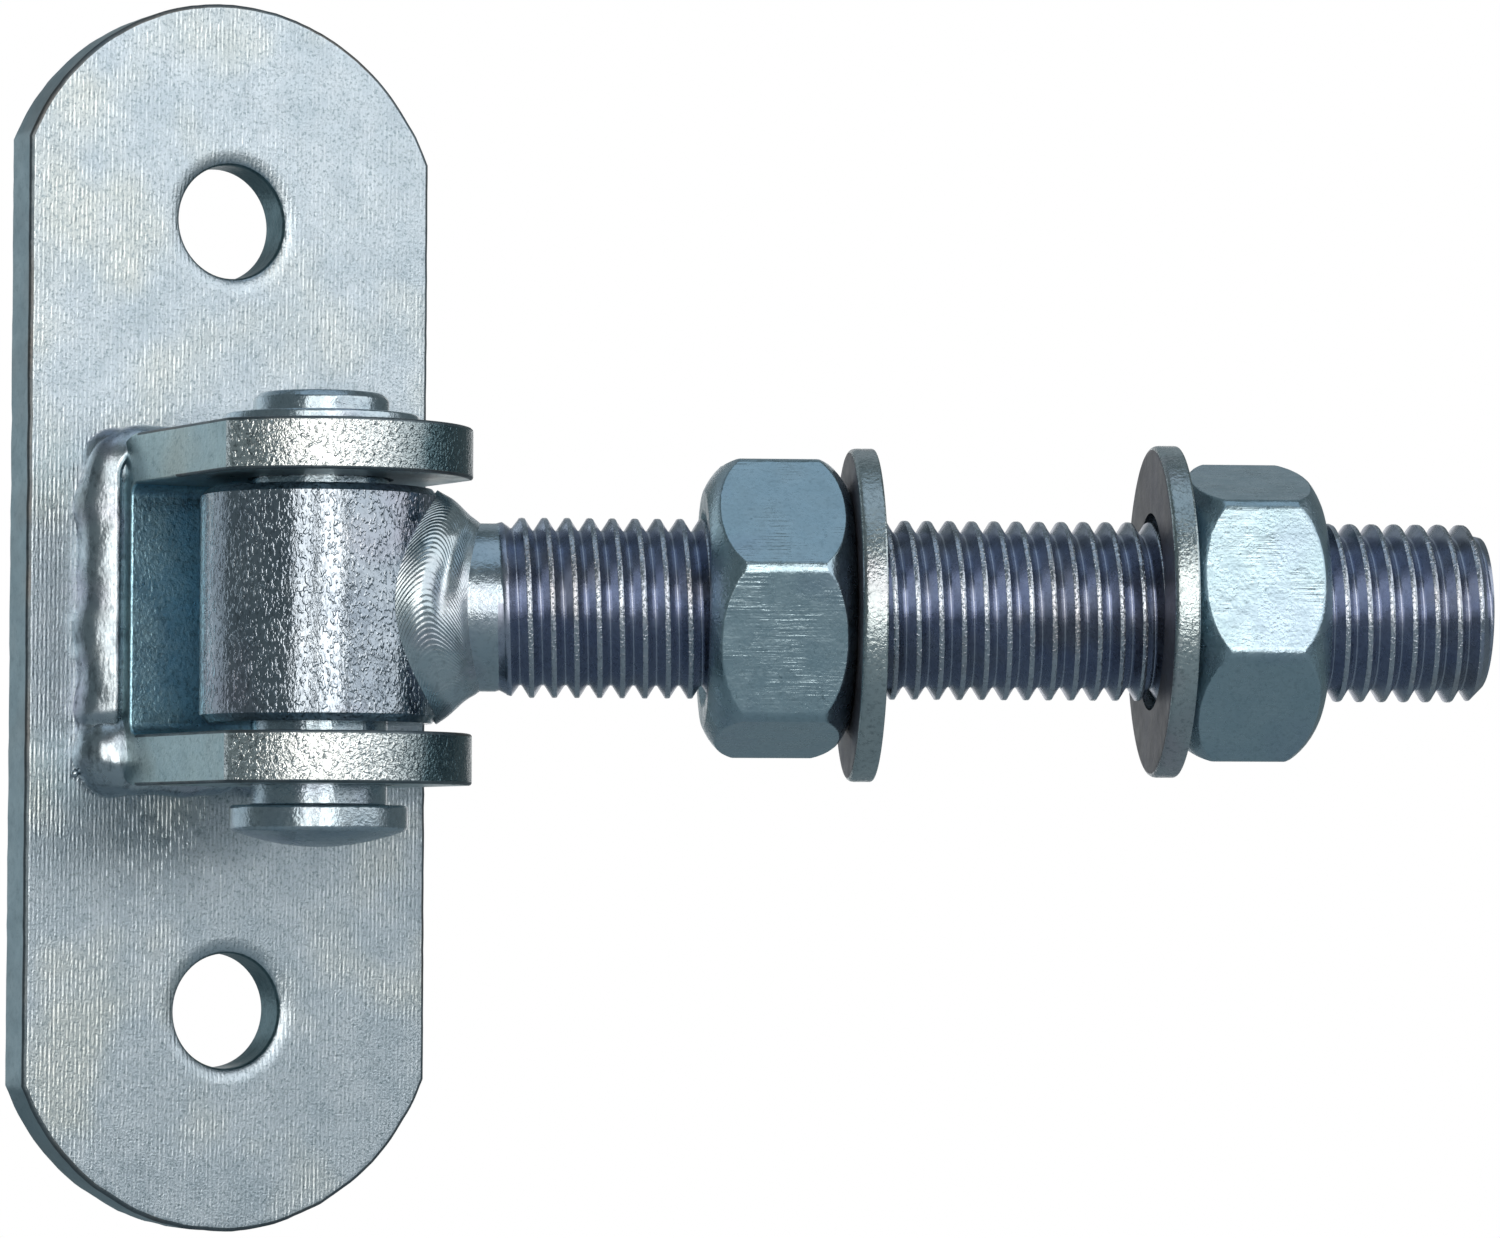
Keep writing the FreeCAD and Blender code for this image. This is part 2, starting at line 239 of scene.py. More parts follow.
def round_corner(before, corner, after, radius):
    """Points of a curve that rounds a corner of a section."""
    back = (before - corner).normalized() * radius
    ahead = (after - corner).normalized() * radius
    points = []
    for step in range(ROUND_STEPS + 1):
        share = step / ROUND_STEPS
        points.append(corner + back * (1 - share) ** 2 + ahead * share ** 2)
    return points


def rounded_section(corners, rounds):
    """Section through corners, each rounded by its own radius; a zero keeps the corner sharp."""
    points = []
    for index, corner in enumerate(corners):
        if rounds[index] == 0 or index in (0, len(corners) - 1):
            points.append(corner)
        else:
            points += round_corner(corners[index - 1], corner, corners[index + 1], rounds[index])
    return points


def bevel_where(mesh, size, segments, wanted):
    """Round the edges that a test picks."""
    edges = [edge for edge in mesh.edges if wanted(edge)]
    bmesh.ops.bevel(mesh, geom=edges, offset=size, offset_type="OFFSET", segments=segments, profile=0.5,
                    affect="EDGES", clamp_overlap=False, material=-1)


def is_corner(edge, degrees):
    """True where two faces meet at more than an angle."""
    return len(edge.link_faces) == 2 and edge.calc_face_angle(0) > math.radians(degrees)


def finish_faces(made, material, wanted):
    """Further finish on the faces of a piece that a test picks."""
    made.data.materials.append(material)
    for face in made.data.polygons:
        if wanted(face):
            face.material_index = len(made.data.materials) - 1


def shade(mesh):
    """Smooth shading that stays crisp over sharp edges."""
    for face in mesh.faces:
        face.smooth = True
    for edge in mesh.edges:
        edge.smooth = not is_corner(edge, 35)


def object_from(name, mesh):
    """Scene object that owns a mesh."""
    data = bpy.data.meshes.new(name)
    mesh.to_mesh(data)
    mesh.free()
    made = bpy.data.objects.new(name, data)
    scene.collection.objects.link(made)
    return made


def combined(base, tool, operation):
    """Exact boolean of two meshes as a new mesh."""
    first = object_from("boolean_base", base)
    second = object_from("boolean_tool", tool)
    step = first.modifiers.new("boolean", "BOOLEAN")
    step.object = second
    step.operation = operation
    step.solver = "EXACT"
    graph = bpy.context.evaluated_depsgraph_get()
    result = bmesh.new()
    result.from_mesh(first.evaluated_get(graph).to_mesh())
    for used in (first, second):
        bpy.data.objects.remove(used)
    return result


def finish_piece(name, mesh, material, body, slot, *nodes):
    """Shade a mesh, give it a finish and let it stand for its nodes on its body."""
    shade(mesh)
    made = object_from(name, mesh)
    made.data.materials.append(material)
    even = made.modifiers.new("even_normals", "WEIGHTED_NORMAL")
    even.keep_sharp = True
    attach(made, body)
    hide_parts(*nodes)
    return made


# Plate and bracket


def plate_outline(mesh):
    """Edges of the plate's outline at the back face: two arcs joined by cut-up straight sides."""
    half = PLATE_HALF_WIDTH
    rise = PLATE_END_RADIUS - math.sqrt(PLATE_END_RADIUS ** 2 - half ** 2)
    corner = PLATE_HALF_LENGTH - rise
    centre = PLATE_HALF_LENGTH - PLATE_END_RADIUS
    swing = 2 * math.asin(half / PLATE_END_RADIUS)
    top = swept_arc(mesh, (half, 0, corner), (0, 0, centre), (0, -1, 0), swing, ARC_STEPS)
    bottom = swept_arc(mesh, (-half, 0, -corner), (0, 0, -centre), (0, -1, 0), swing, ARC_STEPS)
    sides = [mesh.edges.new((top[1], bottom[0])), mesh.edges.new((bottom[1], top[0]))]
    bmesh.ops.subdivide_edges(mesh, edges=sides, cuts=PLATE_SIDE_CUTS)


def from_hole(point):
    """Distance of a point from the wall of the nearest bolt hole."""
    return math.hypot(point.x, abs(point.z) - HOLE_HEIGHT) - HOLE_RADIUS


def mounting_plate():
    """Sheared plate with arc ends, an uneven outline and two punched holes that draw the face in."""
    mesh = bmesh.new()
    plate_outline(mesh)
    for vert in mesh.verts:
        dent = sum(abs(wobble(vert.co, size, depth)) for size, depth in PLATE_DENTS)
        vert.co -= vert.co.normalized() * dent
    for side in (-1, 1):
        place = Matrix.Translation((0, 0, side * HOLE_HEIGHT)) @ Matrix.Rotation(math.pi / 2, 4, "X")
        bmesh.ops.create_circle(mesh, segments=ARC_STEPS, radius=HOLE_RADIUS, matrix=place)
    bmesh.ops.triangle_fill(mesh, edges=mesh.edges[:], use_beauty=True)
    grown = bmesh.ops.extrude_face_region(mesh, geom=mesh.faces[:])
    faces = of_kind(grown["geom"], bmesh.types.BMFace)
    bmesh.ops.translate(mesh, verts=of_kind(grown["geom"], bmesh.types.BMVert), 
                        vec=(0, PLATE_FRONT + PLATE_EDGE_ROUND, 0))
    bmesh.ops.recalc_face_normals(mesh, faces=mesh.faces)
    for inward, forward in PLATE_FRONT_ROWS:
        bmesh.ops.inset_region(mesh, faces=faces, use_boundary=True, use_even_offset=True,
                               thickness=inward * PLATE_EDGE_ROUND, depth=forward * PLATE_EDGE_ROUND)
    for vert in mesh.verts:
        away = from_hole(vert.co)
        if vert.co.y < PLATE_FRONT / 2 and away < HOLE_ROLLOVER:
            vert.co.y += HOLE_ROLLOVER_DEPTH * (1 - away / HOLE_ROLLOVER) ** 2
    return mesh


def fold_profile(mesh):
    """Outline of the folded bar in the YZ plane, with both folds as arcs."""
    back = PLATE_FRONT
    front = PLATE_FRONT - BAR_THICKNESS
    reach = PIN.y - EAR_TIP_RADIUS - 1 * MM
    outer = FOLD_RADIUS + BAR_THICKNESS
    quarter = math.pi / 2
    axis = (1, 0, 0)
    left = BRACKET_LOW.x
    outer_top = swept_arc(mesh, (left, back - outer, EAR_OUTER), (left, back - outer, EAR_OUTER - outer),
                          axis, -quarter, FOLD_STEPS)
    outer_low = swept_arc(mesh, (left, back, outer - EAR_OUTER), (left, back - outer, outer - EAR_OUTER),
                          axis, -quarter, FOLD_STEPS)
    inner_low = swept_arc(mesh, (left, front - FOLD_RADIUS, -EAR_INNER),
                          (left, front - FOLD_RADIUS, FOLD_RADIUS - EAR_INNER),
                          axis, quarter, FOLD_STEPS // 2)
    inner_top = swept_arc(mesh, (left, front, EAR_INNER - FOLD_RADIUS),
                          (left, front - FOLD_RADIUS, EAR_INNER - FOLD_RADIUS),
                          axis, quarter, FOLD_STEPS // 2)
    low_tip = chain(mesh, [(left, reach, -EAR_OUTER), (left, reach, -EAR_INNER)])
    top_tip = chain(mesh, [(left, reach, EAR_INNER), (left, reach, EAR_OUTER)])
    joins = ((outer_top[1], outer_low[0]), (outer_low[1], low_tip[0]), (low_tip[1], inner_low[0]),
             (inner_low[1], inner_top[0]), (inner_top[1], top_tip[0]), (top_tip[1], outer_top[0]))
    for first, second in joins:
        mesh.edges.new((first, second))


def clevis_bracket():
    """Folded bar whose ears are sheared to an arc about the pin and drilled for it."""
    bar = bmesh.new()
    fold_profile(bar)
    grow(bar, (BRACKET_HIGH.x - BRACKET_LOW.x, 0, 0))

    plan = bmesh.new()
    half = BRACKET_HIGH.x
    low = -2 * EAR_OUTER
    forward = math.sqrt(EAR_TIP_RADIUS ** 2 - half ** 2)
    swing = 2 * math.asin(half / EAR_TIP_RADIUS)
    tip = swept_arc(plan, (-half, PIN.y - forward, low), (0, PIN.y, low), (0, 0, 1), swing, EAR_ARC_STEPS)
    base = chain(plan, [(half, 5 * MM, low), (-half, 5 * MM, low)])
    plan.edges.new((tip[1], base[0]))
    plan.edges.new((base[1], tip[0]))
    grow(plan, (0, 0, -2 * low))

    drill = bmesh.new()
    bmesh.ops.create_cone(drill, cap_ends=True, segments=ARC_STEPS, radius1=PIN_HOLE_RADIUS,
                          radius2=PIN_HOLE_RADIUS, depth=4 * EAR_OUTER, matrix=Matrix.Translation(PIN))
    bracket = combined(combined(bar, plan, "INTERSECT"), drill, "DIFFERENCE")
    bmesh.ops.remove_doubles(bracket, verts=bracket.verts, dist=0.005 * MM)
    bevel_where(bracket, BAR_EDGE_ROUND, 3, lambda edge: is_corner(edge, 40))
    return bracket


# Welds


def hump(value, middle, width):
    """Smooth bump of height one round a middle."""
    return math.exp(-((value - middle) / width) ** 2)


def side_bead_radius(angle):
    """Distance of the side bead's skin from the root corner: a flat crown that leans to the left, a steep toe
    and a groove next to the bar."""
    groove = BEAD_GROOVE * hump(angle, math.pi / 2, BEAD_GROOVE_SPAN)
    if 0 <= angle <= math.pi / 2:
        crown = max(math.cos(angle - BEAD_LEAN), 0.01) / BEAD_CROWN
        toe = max(math.cos(angle), 0.01) / BEAD_TOE
        return (crown ** BEAD_SHARPNESS + toe ** BEAD_SHARPNESS) ** (-1 / BEAD_SHARPNESS) - groove
    away = min(abs(angle), abs(angle - math.pi / 2), TURN - abs(angle))
    leg = BEAD_TOE if angle < 0 or angle > math.pi else BEAD_CROWN / math.sin(BEAD_LEAN)
    return max(BEAD_FOOT, leg * math.cos(min(away * 2.2, 1.35)) - groove)


def bead_station(distance):
    """Root point, outward direction and wrap share of the bead, at a distance from the middle of its side."""
    straight = BEAD_LEVEL - BEAD_CORNER
    bend = BEAD_CORNER * math.pi / 2
    side = 1 if distance > 0 else -1
    beyond = abs(distance) - straight
    left = BRACKET_LOW.x
    if beyond <= 0:
        return Vector((left, PLATE_FRONT, distance)), Vector((-1, 0, 0)), 0.0
    if beyond <= bend:
        angle = beyond / BEAD_CORNER
        outward = Vector((-math.cos(angle), 0, side * math.sin(angle)))
        centre = Vector((left + BEAD_CORNER, PLATE_FRONT, side * straight))
        return centre + outward * BEAD_CORNER, outward, math.sin(angle) ** 2
    root = Vector((left + BEAD_CORNER + beyond - bend, PLATE_FRONT, side * BEAD_LEVEL))
    return root, Vector((0, 0, side)), 1.0


def run_bead():
    """One bead over the fold, down the left edge of the web and under the fold, laid on a stretched ball."""
    mesh = bmesh.new()
    bmesh.ops.create_uvsphere(mesh, u_segments=96, v_segments=220, radius=1.0)
    half = BEAD_LEVEL - BEAD_CORNER + BEAD_CORNER * math.pi / 2 - BRACKET_LOW.x - BEAD_CORNER + BEAD_OVERRUN
    for vert in mesh.verts:
        lift = max(-1.0, min(1.0, vert.co.z))
        along = math.asin(lift) / (math.pi / 2)
        angle = math.atan2(-vert.co.y, -vert.co.x)
        root, outward, wrapped = bead_station(along * half)
        reach = side_bead_radius(angle) * (1 - wrapped) + WRAP_RADIUS * wrapped
        # The unevenness is read at 3 mm from the root, whatever the bead's own reach is there
        spot = root + outward * math.cos(angle) * 3 * MM + Vector((0, -3 * MM * math.sin(angle), 0))
        toe = max(0.0, math.cos(angle)) ** 5
        reach += wobble(spot, 4.5 * MM, 1.1 * MM) * toe * (1 - 0.6 * wrapped)
        reach += wobble(spot + Vector((0, 0, 0.1)), 3.0 * MM, 0.10 * MM)
        dip = hump(along * half, BEAD_DIP_LEVEL, BEAD_DIP_LENGTH) * max(0.0, math.sin(angle + 0.3))
        reach -= BEAD_DIP_DEPTH * dip
        reach *= (1 - abs(along) ** 14) ** 0.5
        depth = reach * math.sin(angle) + WRAP_DEPTH * wrapped
        vert.co = root + outward * reach * math.cos(angle) + Vector((0, -depth, 0))
    return mesh


def weld_lump(place, radius, size, depth):
    """Lump of weld metal, slightly flattened and uneven."""
    mesh = bmesh.new()
    bmesh.ops.create_icosphere(mesh, subdivisions=5, radius=radius)
    for vert in mesh.verts:
        vert.co *= 1 + wobble(vert.co + place, size, depth) / radius
    bmesh.ops.scale(mesh, vec=(1.0, LUMP_FLATNESS, 1.0), verts=mesh.verts)
    bmesh.ops.translate(mesh, vec=place, verts=mesh.verts)
    return mesh


def joined(meshes):
    """Several meshes as one."""
    whole = bmesh.new()
    for mesh in meshes:
        data = bpy.data.meshes.new("part_of_whole")
        mesh.to_mesh(data)
        mesh.free()
        whole.from_mesh(data)
        bpy.data.meshes.remove(data)
    return whole


def bracket_weld(side):
    """Weld on one side of the web: -1 is the left one, 1 its mirror image."""
    parts = [run_bead()]
    for (across, forward, up), radius, size, height in BEAD_LUMPS:
        place = Vector((BRACKET_LOW.x + across * MM, PLATE_FRONT + forward * MM, up * MM))
        parts.append(weld_lump(place, radius * MM, size * MM, height * MM))
    bead = joined(parts)
    if side > 0:
        bmesh.ops.scale(bead, vec=(-1, 1, 1), verts=bead.verts)
    bmesh.ops.recalc_face_normals(bead, faces=bead.faces)
    return bead


def collar_place(theta, share):
    """Point on the collar in the rod's frame: theta is 0 on top, share runs from barrel to shank."""
    side = math.sin(theta) ** 2
    start_height = COLLAR_HALF_HEIGHT * math.cos(theta)
    start_width = COLLAR_HALF_WIDTH * math.sin(theta)
    depth = math.sqrt(BARREL_RADIUS ** 2 - start_width ** 2) - COLLAR_SINK
    start = Vector((depth, start_width, start_height))
    toe = (17.7 - 1.7 * side) * MM
    end = Vector((toe, COLLAR_END_RADIUS * math.sin(theta), COLLAR_END_RADIUS * math.cos(theta)))
    outward = Vector((0.45, math.sin(theta), math.cos(theta))).normalized()
    lean = abs(theta) - 1.45
    # Heights in mm, each round its own share of the way from barrel to shank
    first_pass = (0.15 + 0.40 * side) * MM * hump(share, 0.35, 0.30)
    crown = 0.55 * MM * hump(lean, 0.0, 0.45) * hump(share, 0.28, 0.22)
    second_pass = (0.05 + 0.30 * side) * MM * hump(share, 0.88, 0.10)
    valley = 0.35 * MM * hump(share, 0.64 - 0.12 * lean, 0.10) * hump(lean, -0.1, 0.6)
    return start.lerp(end, share) + outward * (first_pass + crown + second_pass - valley)


def eye_weld():
    """Saddle-shaped collar between barrel and shank, with a shallow valley between its two passes."""
    mesh = bmesh.new()
    chain(mesh, [(row / COLLAR_ROWS, 0, 1) for row in range(COLLAR_ROWS + 1)])
    bmesh.ops.spin(mesh, geom=mesh.verts[:] + mesh.edges[:], cent=(0, 0, 0), axis=(1, 0, 0), angle=TURN,
                   steps=COLLAR_STEPS, use_merge=True, use_duplicate=False)
    bmesh.ops.remove_doubles(mesh, verts=mesh.verts, dist=1e-5)
    # Coordinates in mm, round the collar and along it, for the ripples of its finish
    flow = mesh.loops.layers.uv.new("flow")
    for face in mesh.faces:
        angles = [math.atan2(loop.vert.co.y, loop.vert.co.z) for loop in face.loops]
        for loop, angle in zip(face.loops, angles):
            if max(angles) - angle > math.pi:
                angle += TURN
            loop[flow].uv = (angle * SHANK_RADIUS / MM, loop.vert.co.x * COLLAR_LENGTH / MM)
    for vert in mesh.verts:
        theta = math.atan2(vert.co.y, vert.co.z)
        share = vert.co.x
        place = collar_place(theta, share)
        swell = math.sin(math.pi * share)
        rise = wobble(place, 4.5 * MM, 0.45 * MM) + wobble(place, 1.2 * MM, 0.04 * MM)
        vert.co = place + Vector((0, place.y, place.z)).normalized() * rise * swell
    rims = [edge for edge in mesh.edges if edge.is_boundary]
    for inward in (0.72, 0.2):
        grown = bmesh.ops.extrude_edge_only(mesh, edges=rims)
        rims = of_kind(grown["geom"], bmesh.types.BMEdge)
        for vert in of_kind(grown["geom"], bmesh.types.BMVert):
            vert.co.y *= inward
            vert.co.z *= inward
    bmesh.ops.holes_fill(mesh, edges=rims)
    bmesh.ops.recalc_face_normals(mesh, faces=mesh.faces)
    mesh.transform(ROD_FRAME)
    return mesh


# Turned pieces


def upright(corners, rounds):
    """Body turned about the pin's axis, from corners given as radius and height."""
    section = [Vector((radius, 0, height)) for radius, height in corners]
    mesh = turned(rounded_section(section, rounds), PIN_STEPS, (0, 0, 1))
    mesh.transform(Matrix.Translation((PIN.x, PIN.y, 0)))
    return mesh


def eye_barrel():
    """Sleeve on the pin, cropped to length, with a slightly uneven skin."""
    rows = 22
    lowest = -BARREL_HALF + BARREL_CHAMFER
    length = 2 * BARREL_HALF - 2 * BARREL_CHAMFER
    side = [(BARREL_RADIUS, lowest + length * row / rows) for row in range(rows + 1)]
    corners = [(BARREL_BORE, -BARREL_HALF), (BARREL_RADIUS - BARREL_CHAMFER, -BARREL_HALF)] + side
    corners += [(BARREL_RADIUS - BARREL_CHAMFER, BARREL_HALF), (BARREL_BORE, BARREL_HALF),
                (BARREL_BORE, -BARREL_HALF)]
    section = [Vector((radius, 0, height)) for radius, height in corners]
    mesh = turned(section, TURNED_STEPS, (0, 0, 1))
    for vert in mesh.verts:
        outward = Vector((vert.co.x, vert.co.y, 0))
        if outward.length > BARREL_RADIUS * 0.9:
            vert.co -= outward.normalized() * abs(wobble(vert.co, 3.0 * MM, 0.07 * MM))
    mesh.transform(Matrix.Translation((PIN.x, PIN.y, 0)))
    return mesh


def hinge_pin():
    """Headed pin: bevelled end above, flat-rimmed domed head below."""
    head = PIN_HIGH.x
    rim_high = -(EAR_OUTER + PIN_HEAD_PLAY)
    rim_low = rim_high - PIN_HEAD_RIM
    low = PIN_LOW.z
    dome = [(head * share, rim_low - (rim_low - low) * (1 - share ** 2))
            for share in (0.95, 0.8, 0.6, 0.4, 0.2)]
    corners = [(0, PIN_HIGH.z), (PIN_RADIUS - PIN_CHAMFER, PIN_HIGH.z),
               (PIN_RADIUS, PIN_HIGH.z - PIN_CHAMFER), (PIN_RADIUS, rim_high),
               (head, rim_high), (head, rim_low)] + dome + [(0, low)]
    rounds = [0, 0.25 * MM, 0.25 * MM, 0.2 * MM, 0.45 * MM, 0.4 * MM] + [0] * (len(dome) + 1)
    return upright(corners, rounds)


def pin_retaining_ring():
    """Thin ring pressed on the pin above the upper ear."""
    outer = RING_HIGH.x
    corners = [(RING_BORE, RING_LOW.z), (outer, RING_LOW.z), (outer, RING_HIGH.z), (RING_BORE, RING_HIGH.z),
               (RING_BORE, RING_LOW.z)]
    return upright(corners, [0, 0.25 * MM, 0.4 * MM, 0.15 * MM, 0])


def flat_washer(node):
    """Punched washer: rolled over on the side towards the hinge, burred on the other."""
    start = station(node) - WASHER_THICKNESS / 2
    corners = [(0, WASHER_BORE), (0, WASHER_RADIUS), (WASHER_THICKNESS, WASHER_RADIUS),
               (WASHER_THICKNESS, WASHER_BORE), (0, WASHER_BORE)]
    rounds = [0, WASHER_ROLLOVER, WASHER_BURR, WASHER_BORE_ROUND, 0]
    section = [Vector((start + along, 0, radius)) for along, radius in corners]
    mesh = turned(rounded_section(section, rounds), TURNED_STEPS, (1, 0, 0))
    mesh.transform(ROD_FRAME @ Matrix.Translation((0, 0, drop(node))))
    return mesh


def bowed(first, last, bulge):
    """Points of a shallow bow between two section points, standing off its chord to the left."""
    chord = last - first
    side = Vector((-chord.z, 0, chord.x)).normalized() * bulge
    points = []
    for step in range(BOW_STEPS + 1):
        share = step / BOW_STEPS
        points.append(first + chord * share + side * (4 * share * (1 - share)))
    return points


def hex_nut(node, height, turn):
    """Forged hexagon nut: a prism with rounded ridges, cut by a turned blank with bowed chamfers."""
    start = station(node) - height / 2
    face = NUT_FACE / 2
    corner = NUT_BLANK / 2
    near = bowed(Vector((0, 0, face)), Vector((NUT_CHAMFER_REACH, 0, corner)), NUT_CHAMFER_BULGE)
    far = bowed(Vector((height - NUT_CHAMFER_REACH, 0, corner)), Vector((height, 0, face)), NUT_CHAMFER_BULGE)
    bore = [(height, NUT_BORE + NUT_SINK), (height - NUT_SINK, NUT_BORE), (NUT_SINK, NUT_BORE)]
    inside = [Vector((along, 0, radius)) for along, radius in bore]
    mouth = Vector((0, 0, NUT_BORE + NUT_SINK))
    blank = turned([mouth] + near + far + inside + [mouth], TURNED_STEPS, (1, 0, 0))
    prism = bmesh.new()
    place = Matrix.Rotation(math.pi / 2, 4, "Y")
    bmesh.ops.create_cone(prism, cap_ends=True, segments=6, radius1=NUT_FLATS / math.sqrt(3),
                          radius2=NUT_FLATS / math.sqrt(3), depth=3 * height, matrix=place)
    first = max(prism.verts, key=lambda vert: vert.co.z).co
    lean = math.atan2(first.y, first.z)
    wanted = math.atan2(-math.cos(turn), math.sin(turn))
    prism.transform(Matrix.Rotation(lean - wanted, 4, "X"))
    bevel_where(prism, NUT_RIDGE_ROUND, 6, lambda edge: abs(edge.verts[0].co.x - edge.verts[1].co.x) > height)
    nut = combined(blank, prism, "INTERSECT")
    bmesh.ops.remove_doubles(nut, verts=nut.verts, dist=NUT_SLIVER)
    bevel_where(nut, NUT_EDGE_ROUND, 2, lambda edge: is_corner(edge, 18))
    nut.transform(ROD_FRAME @ Matrix.Translation((start, 0, 0)))
    return nut


def thread_limit(along):
    """Largest radius of the thread at a distance along the rod, from the end chamfer."""
    return THREAD_CREST - max(0.0, along - (ROD_END - END_CHAMFER))


def threaded_rod():
    """Rolled right-hand thread, run out into the shank and chamfered at the free end."""
    turn = bmesh.new()
    ridge = THREAD_CREST
    root = THREAD_ROOT
    # One turn's section: distance along the rod in mm, and radius
    profile = [(0.0, root), (0.08, root + 0.02 * MM), (0.20, root + 0.14 * MM), (0.90, ridge - 0.18 * MM),
               (0.97, ridge - 0.05 * MM), (1.08, ridge), (1.42, ridge), (1.53, ridge - 0.05 * MM),
               (1.60, ridge - 0.18 * MM), (2.30, root + 0.14 * MM), (2.42, root + 0.02 * MM), (2.5, root)]
    start = THREAD_PHASE - THREAD_PITCH / 2 - 2 * THREAD_PITCH
    count = math.ceil((ROD_END - start) / THREAD_PITCH) + 1
    chain(turn, [(start + along * MM, 0, radius) for along, radius in profile])
    bmesh.ops.spin(turn, geom=turn.verts[:] + turn.edges[:], cent=(0, 0, 0), axis=(1, 0, 0),
                   dvec=(THREAD_PITCH / THREAD_STEPS, 0, 0), angle=TURN, steps=THREAD_STEPS,
                   use_merge=False, use_duplicate=False)
    mesh = bmesh.new()
    data = bpy.data.meshes.new("one_turn")
    turn.to_mesh(data)
    turn.free()
    for _ in range(count):
        mesh.from_mesh(data)
        data.transform(Matrix.Translation((THREAD_PITCH, 0, 0)))
    bpy.data.meshes.remove(data)
    bmesh.ops.remove_doubles(mesh, verts=mesh.verts, dist=0.01 * MM)
    for end in (SHANK_END, ROD_END):
        everything = mesh.verts[:] + mesh.edges[:] + mesh.faces[:]
        bmesh.ops.bisect_plane(mesh, geom=everything, dist=CLEAN_GAP, plane_co=(end, 0, 0),
                               plane_no=(1, 0, 0), clear_inner=end == SHANK_END, clear_outer=end == ROD_END)
    for vert in mesh.verts:
        radius = math.hypot(vert.co.y, vert.co.z)
        fade = min(1.0, max(0.0, (vert.co.x - SHANK_END) / THREAD_FADE))
        wanted = SHANK_RADIUS + (radius - SHANK_RADIUS) * fade
        wanted = min(wanted, thread_limit(vert.co.x))
        wanted += wobble(vert.co, 1.4 * MM, 0.03 * MM) * fade
        vert.co.y *= wanted / radius
        vert.co.z *= wanted / radius
    rims = [edge for edge in mesh.edges if edge.is_boundary]
    inner = [edge for edge in rims if edge.verts[0].co.x < SHANK_END + 0.1 * MM]
    outer = [edge for edge in rims if edge.verts[0].co.x > ROD_END - 0.1 * MM]
    bmesh.ops.holes_fill(mesh, edges=outer)
    grown = bmesh.ops.extrude_edge_only(mesh, edges=inner)
    for vert in of_kind(grown["geom"], bmesh.types.BMVert):
        vert.co.x = SHANK_START
    bmesh.ops.holes_fill(mesh, edges=of_kind(grown["geom"], bmesh.types.BMEdge))
    bmesh.ops.recalc_face_normals(mesh, faces=mesh.faces)
    mesh.transform(ROD_FRAME)
    return mesh


# Material helpers


def colour(code):
    """Linear colour from an sRGB hex code."""
    channels = [int(code[index:index + 2], 16) / 255 for index in (1, 3, 5)]
    linear = [value / 12.92 if value <= 0.04045 else ((value + 0.055) / 1.055) ** 2.4 for value in channels]
    return (*linear, 1.0)


def plain_tree(owner):
    """Empty node tree of a material or world."""
    owner.use_nodes = True
    owner.node_tree.nodes.clear()
    return owner.node_tree


def add(tree, kind, links=None, **settings):
    """Node of a kind with its settings, and with its sockets set to values or linked to other nodes."""
    made = tree.nodes.new(kind)
    for name, value in settings.items():
        setattr(made, name, value)
    for name, value in (links or {}).items():
        socket = made.inputs[name]
        if isinstance(value, bpy.types.NodeSocket):
            tree.links.new(value, socket)
        else:
            socket.default_value = value
    return made


def calc(tree, operation, *values):
    """Result of a sum on values or sockets."""
    return add(tree, "ShaderNodeMath", dict(enumerate(values)), operation=operation).outputs["Value"]


def per_metre(size_mm):
    """Texture scale for a feature of a size in millimetres."""
    return 1000.0 / size_mm


def grain(tree, where, size_mm, detail, roughness):
    """Noise of a feature size."""
    made = add(tree, "ShaderNodeTexNoise", {"Vector": where, "Scale": per_metre(size_mm), "Detail": detail,
                                            "Roughness": roughness})
    return made.outputs["Fac"]


def spread(tree, value, low, high, to_low=0.0, to_high=1.0):
    """Value stretched from one range to another and clamped."""
    made = add(tree, "ShaderNodeMapRange", {"Value": value, "From Min": low, "From Max": high,
                                            "To Min": to_low, "To Max": to_high})
    return made.outputs["Result"]


def blend(tree, share, first, second):
    """Colour between two colours or sockets."""
    made = add(tree, "ShaderNodeMix", data_type="RGBA")
    colours = [socket for socket in made.inputs if socket.type == "RGBA"]
    for socket, value in zip(colours, (first, second)):
        if isinstance(value, bpy.types.NodeSocket):
            tree.links.new(value, socket)
        else:
            socket.default_value = value
    factor = [socket for socket in made.inputs if socket.type == "VALUE"][0]
    if isinstance(share, bpy.types.NodeSocket):
        tree.links.new(share, factor)
    else:
        factor.default_value = share
    return [socket for socket in made.outputs if socket.type == "RGBA"][0]


def stretched(tree, where, x, y, z):
    """Coordinates stretched along each axis, for patterns that run one way."""
    return add(tree, "ShaderNodeVectorMath", {0: where, 1: (x, y, z)}, operation="MULTIPLY").outputs["Vector"]


def carved(tree, height, depth_mm, normal=None):
    """Normal with a height pattern carved into it."""
    settings = {"Height": height, "Strength": 1.0, "Distance": depth_mm * MM}
    if normal is not None:
        settings["Normal"] = normal
    return add(tree, "ShaderNodeBump", settings).outputs["Normal"]


def waves(tree, value, pitch):
    """Sine of a value with a pitch in the value's own unit."""
    return calc(tree, "SINE", calc(tree, "MULTIPLY", value, TURN / pitch))


